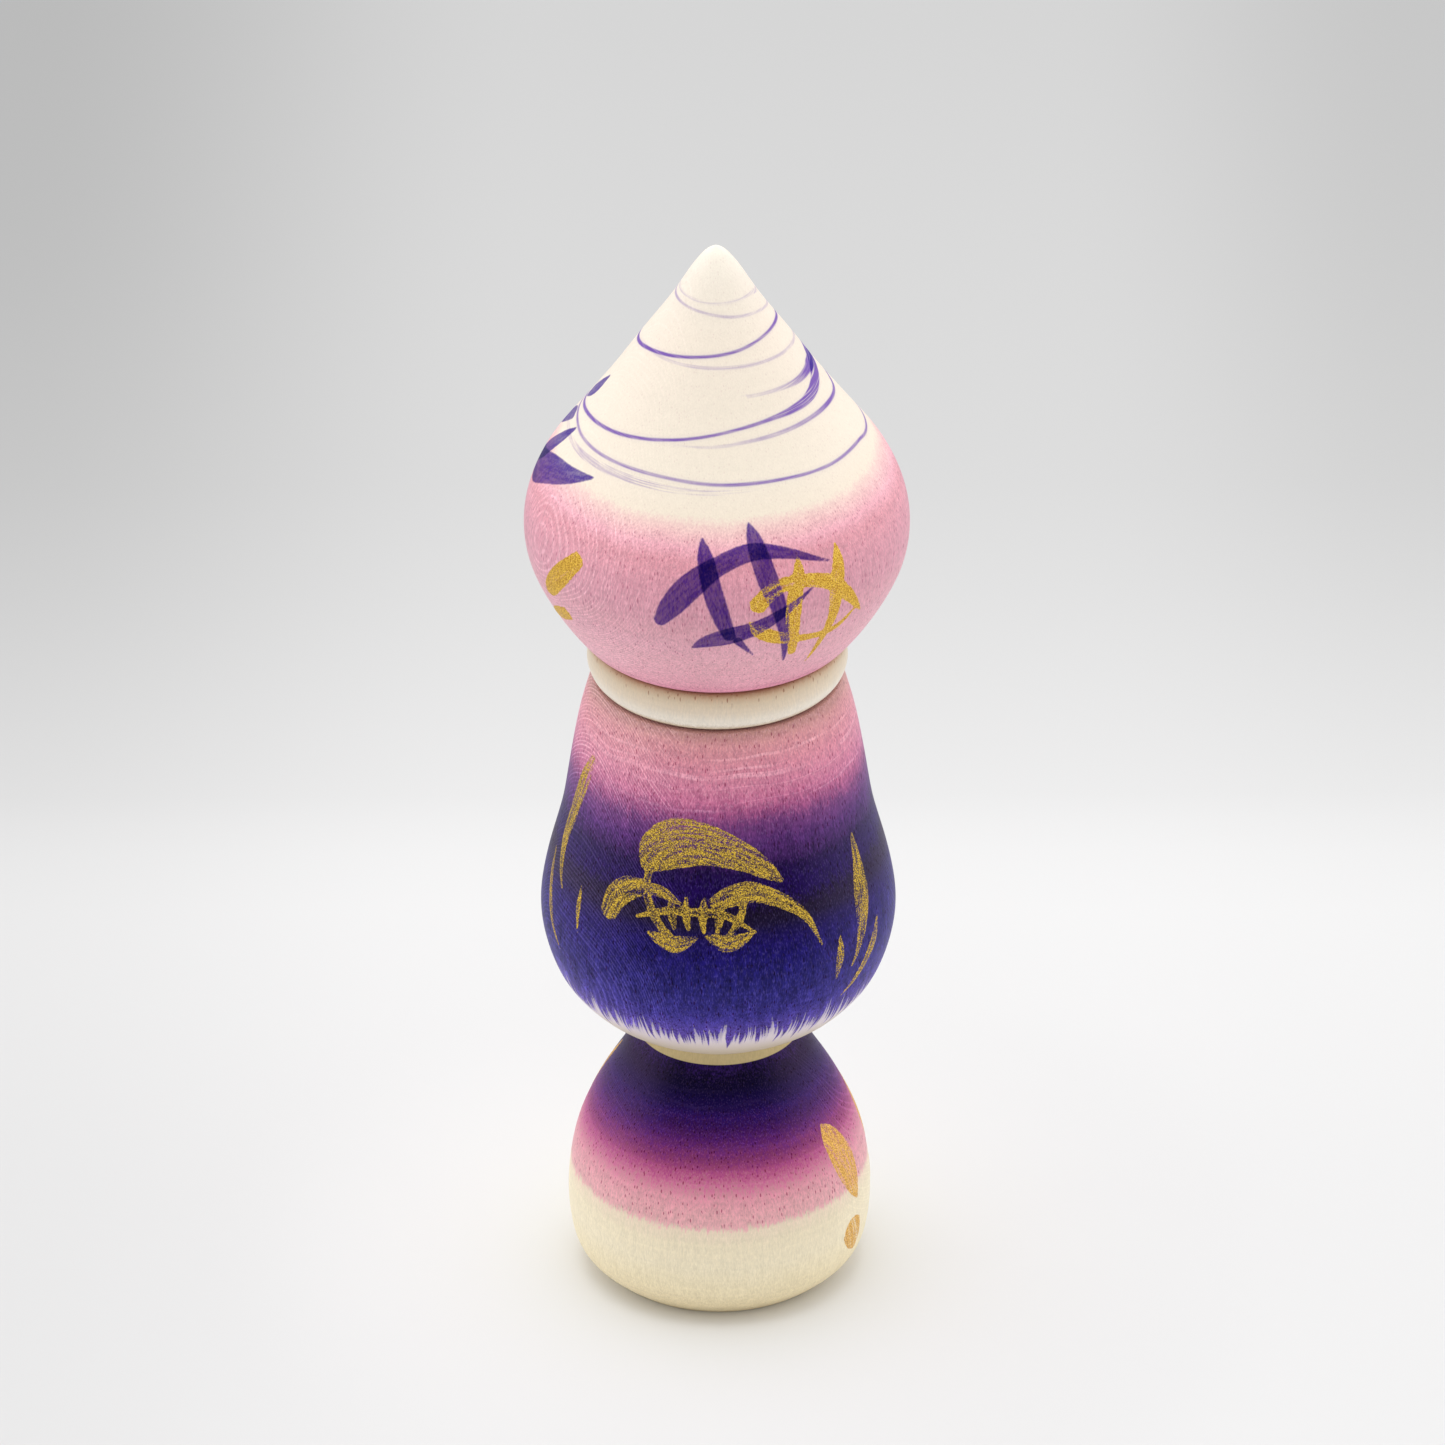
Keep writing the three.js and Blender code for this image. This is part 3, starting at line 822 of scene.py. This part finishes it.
def torso_material():
    w = Wood("dyed_torso_wood", sheet_azimuth=-62, sheet_tilt=-0.34)
    g = w.g
    height = w.grain["Height"]
    # Painted limb sheen: towards ±X the dye above 66 mm is moved up by up to 0.7 mm, so the left and
    # right limbs read lighter.
    painted_sheen_sides = g.span(g.math("ABSOLUTE", g.add("SeparateXYZ", (w.place,))), 9, 18)
    shift = g.times(painted_sheen_sides, g.span(height, 66, 72), 0.7)
    w.dye(TORSO_DYE_AND_RING_SHADOW, feather=0.9, streak_feather=0.7, patch_feather=1.8, shift=shift)
    depth = g.span(height, 76, 68, 1.0, 2.3)
    paleness = g.span(height, 72, 79, 0.45, 0.62)
    marks = g.span(height, 74, 79)
    haze = g.span(height, 72, 80, 0.07, 0.45)
    pale = g.ramp(height, [(72, (198, 176, 244)), (80, (246, 214, 222))])
    w.weather(depth, pores=0.8, pale=pale, paleness=paleness, ridges=2.4, marks=marks, haze=haze)
    mottle = g.noise(g.stretch(w.place, 0.8, 0.8, 0.3), 4.0, 0.65)
    below = g.span(height, 62, 57)
    w.colour = g.shade(w.colour, g.plus(1.0, mottle, g.times(below, 1.9)))
    bare = g.ramp(height, BARE_STRIP)
    for cells, shortest, tallest, offset in SPIKE_ROWS:
        w.colour = g.mix(spikes(w, cells, shortest, tallest, offset), w.colour, bare)
    w.gild((250, 210, 76), (112, 86, 50), cover=0.52, speckle=1.25)
    return w.finish(roughness=0.4, bump=0.35)


# Base colour by height; below 9.5 mm the bare cream turns darker and more golden towards the foot.
BASE_DYE = [
    (0, (232, 215, 176)), (3, (238, 222, 184)), (6, (243, 229, 194)), (9.5, (244, 232, 203)),
    (13, (240, 227, 198)), (15.1, (238, 219, 196)), (15.7, (231, 176, 180)), (17, (229, 170, 176)),
    (19.6, (223, 153, 167)), (21.2, (204, 115, 150)), (22.6, (174, 79, 128)), (24.1, (138, 57, 114)),
    (25.5, (100, 38, 104)), (27, (74, 24, 96)), (28.4, (54, 16, 90)), (29.6, (36, 10, 82)),
    (31, (19, 4, 64)), (32.4, (12, 4, 44)), (33.8, (18, 7, 48)), (35.2, (34, 14, 72)),
]
BASE_PALE = [(14, (250, 244, 226)), (16.5, (250, 216, 222)), (20, (246, 206, 226)), (25, (214, 170, 240))]
BARE_NECK = (202, 182, 136)


def base_material():
    w = Wood("dyed_base_wood", sheet_azimuth=97, sheet_tilt=0.75)
    g = w.g
    height = w.grain["Height"]
    # Painted limb sheen: towards +X the dye above 17 mm is moved down by up to 0.8 mm, so that limb reads
    # lighter.
    across = g.add("SeparateXYZ", (w.place,))
    shift = g.times(g.span(across, 7, 18), g.span(height, 17, 24), -0.8)
    feather = g.span(height, 16.5, 22, 0.8, 1.9)
    w.dye(BASE_DYE, feather, streak_feather=1.0, patch_feather=1.2, shift=shift)
    dyed = g.span(height, 14.5, 16.5)
    dark = g.span(height, 20, 27, 0.0, 1.4)
    depth = g.math("ADD", g.math("MULTIPLY_ADD", dyed, 0.6, 0.4), dark)
    paleness = g.math("SUBTRACT", g.span(height, 33, 26, 0.25, 0.5), g.span(height, 25, 20, 0.0, 0.3))
    paleness = g.math("ADD", paleness, g.span(height, 16, 14, 0.0, 0.6))
    haze = g.span(height, 25, 19, 0.07, 0.4)
    w.weather(depth, g.times(dyed, 0.9), g.ramp(height, BASE_PALE), paleness, haze=haze)
    neck = g.span(height, 35.0, 35.12)
    bare = g.shade(linear(BARE_NECK)[:3], g.plus(1.0, w.grain["Fibre"], 0.12))
    w.colour = g.mix(neck, w.colour, bare)
    w.gild((252, 208, 112), (200, 142, 72), cover=0.6, speckle=1.1)
    return w.finish(roughness=0.42, bump=0.35)


# Ring colour by height: pale wood with painted light, a painted highlight on the lower lip near 89.4 mm,
# painted shade darkening up towards the head's overhang and a painted shadow in the seam at 88.3 mm.
RING_WOOD_AND_PAINTED_LIGHT = [
    (88.3, (196, 172, 140)), (88.7, (226, 212, 188)), (89.4, (244, 236, 222)), (90.2, (240, 230, 214)),
    (91.2, (232, 218, 196)), (92.4, (222, 204, 178)), (93.3, (208, 182, 152)), (93.9, (176, 140, 108)),
]


def ring_material():
    w = Wood("waxed_pale_wood", sheet_azimuth=20)
    g = w.g
    w.dye(RING_WOOD_AND_PAINTED_LIGHT, feather=0.25, streak_feather=0.2, patch_feather=0.8)
    w.weather(0.3, pores=0.0, pale=linear((250, 240, 224)), paleness=0.5)
    upper = g.span(w.grain["Height"], 91.6, 93.4)
    w.colour = g.mix(g.times(w.grain["Pores"], upper, 0.8), w.colour, linear((150, 96, 76)))
    return w.finish(roughness=0.36, bump=0.25)


BARE_TONE = [(0, (222, 200, 158)), (150, (226, 206, 166))]


def bare_material():
    w = Wood("bare_wood", sheet_azimuth=40)
    w.dye(BARE_TONE, feather=0.5, streak_feather=0.5, patch_feather=0.5)
    w.weather(0.8, pores=0.4, pale=linear((244, 230, 200)), paleness=0.4)
    return w.finish(roughness=0.6, bump=0.5)


head.data.materials.append(head_material())
ring.data.materials.append(ring_material())
torso.data.materials.append(torso_material())
base.data.materials.append(base_material())
bare_wood = bare_material()
tenon.data.materials.append(bare_wood)
dowel.data.materials.append(bare_wood)


# ---------------------------------------------------------------- stage and light

FLOOR_RADIUS = 4.0
FLOOR_CORNERS = 96
# Greys of the floor from the camera's side to the rear, as (mm behind the doll, sRGB 0 to 255), a painted
# falloff of light that darkens the floor behind the doll.
FLOOR_PAINTED_FALLOFF = [
    (-500, 221), (88, 221), (105, 218), (118, 212), (145, 207), (172, 202), (205, 197), (345, 191),
    (1500, 190),
]


def make_floor():
    """A large pale floor with painted light: greyer behind the doll and darker to the left and right as a
    painted falloff, and lighter round the doll's foot as a painted pool of light that thins its contact
    shadow.
    """
    mesh = bpy.data.meshes.new("floor")
    around = np.linspace(0, 2 * math.pi, FLOOR_CORNERS + 1)[:-1]
    rim = [(math.cos(a) * FLOOR_RADIUS, math.sin(a) * FLOOR_RADIUS, 0.0) for a in around]
    mesh.from_pydata(rim, [], [list(range(FLOOR_CORNERS))])
    floor = bpy.data.objects.new("floor", mesh)
    bpy.context.scene.collection.objects.link(floor)
    material = bpy.data.materials.new("pale_floor")
    material.use_nodes = True
    g = Graph(material.node_tree)
    place = g.add("VectorMath", {0: g.add("TexCoord", out="Object"), "Scale": 1 / MM}, operation="SCALE")
    across = g.add("SeparateXYZ", (place,))
    back = across.node.outputs[1]
    rear = g.span(back, 60, 300)
    # Painted falloff of light: the floor darkens towards the left and the right, more so further back.
    left = g.times(g.span(across, -25, -105), g.math("MULTIPLY_ADD", rear, 0.15, 0.11))
    right = g.times(g.span(across, 50, 105), g.math("MULTIPLY_ADD", rear, 0.12, 0.02))
    near = g.add("VectorMath", (place,), out=1, operation="LENGTH")
    # Painted pool of light: the floor is lightened by up to 12 % within 70 mm of the axis, thinning the
    # doll's contact shadow.
    tone = g.math("SUBTRACT", g.math("SUBTRACT", g.span(near, 16, 70, 1.12, 1.0), left), right)
    greys = g.ramp(back, [(distance, (grey, grey, grey)) for distance, grey in FLOOR_PAINTED_FALLOFF])
    shader = material.node_tree.nodes["Principled BSDF"]
    g.put(shader.inputs["Base Color"], g.shade(greys, tone))
    shader.inputs["Roughness"].default_value = 0.9
    shader.inputs["Specular IOR Level"].default_value = 0.0
    mesh.materials.append(material)


def make_world():
    """A light tent: brightest overhead, dimmest low down on the side that the camera looks from."""
    world = bpy.data.worlds.new("light_tent")
    world.use_nodes = True
    g = Graph(world.node_tree)
    towards = g.add("TexCoord", out="Generated")
    level = g.add("VectorMath", (g.stretch(towards, 1, 1, 0),), operation="NORMALIZE")
    front = g.add("VectorMath", (level, (0.0, -1.0, 0.0)), out=1, operation="DOT_PRODUCT")
    up = g.add("SeparateXYZ", (towards,), out=2)
    low = g.span(up, 0.85, 0.3)
    dim = g.times(g.span(front, 0.1, 0.95), 0.95)
    light = g.math("MULTIPLY_ADD", low, g.math("SUBTRACT", 0.4, dim), 1.0)
    background = world.node_tree.nodes["Background"]
    g.put(background.inputs["Strength"], light)
    background.inputs["Color"].default_value = (1, 1, 1, 1)
    bpy.context.scene.world = world


def make_lamp(name, place, size, watts):
    """A square soft box that faces the doll."""
    data = bpy.data.lights.new(name, "AREA")
    data.size = size
    data.energy = watts
    lamp = bpy.data.objects.new(name, data)
    bpy.context.scene.collection.objects.link(lamp)
    aim = (CAMERA_TARGET - Vector(place)).to_track_quat("-Z", "Y").to_matrix().to_4x4()
    lamp.matrix_world = Matrix.Translation(place) @ aim


make_floor()
make_world()
make_lamp("overhead", (-0.1, 0.0, 1.5), 0.9, 7.0)

bpy.context.scene.view_settings.view_transform = "Standard"
